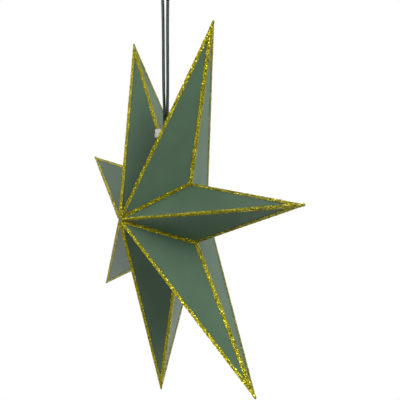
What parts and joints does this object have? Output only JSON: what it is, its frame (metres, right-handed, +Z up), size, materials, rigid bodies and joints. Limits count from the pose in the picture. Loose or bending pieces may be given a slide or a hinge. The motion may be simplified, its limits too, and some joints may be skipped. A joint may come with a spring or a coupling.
{
  "type": "hanging paper star",
  "caption": "Hanging folded paper star with long hollow points, glittered folds, a closing clip and a looped cord.",
  "frame": {"origin": "where the cord loop bears on the hook that it hangs from, at the underside of the loop's top", "axes": "+Z up, the front of the star faces -Y, +X to the right seen from the front"},
  "size_m": [0.4392, 0.1175, 0.4945],
  "materials": {
    "green_card": "matte",
    "gold_glitter": "satin",
    "white_plastic": "satin",
    "green_cord": "matte"
  },
  "bodies": {
    "root": {"point_1": "green_card", "point_2": "green_card", "point_3": "green_card", "point_4": "green_card", "point_5": "green_card", "point_6": "green_card", "point_7": "green_card", "glitter_1": "gold_glitter", "glitter_2": "gold_glitter", "glitter_3": "gold_glitter", "glitter_4": "gold_glitter", "glitter_5": "gold_glitter", "glitter_6": "gold_glitter", "glitter_7": "gold_glitter", "closing_clip": "white_plastic", "hanging_cord": "green_cord", "cord_knot": "green_cord"}
  },
  "joints": []
}
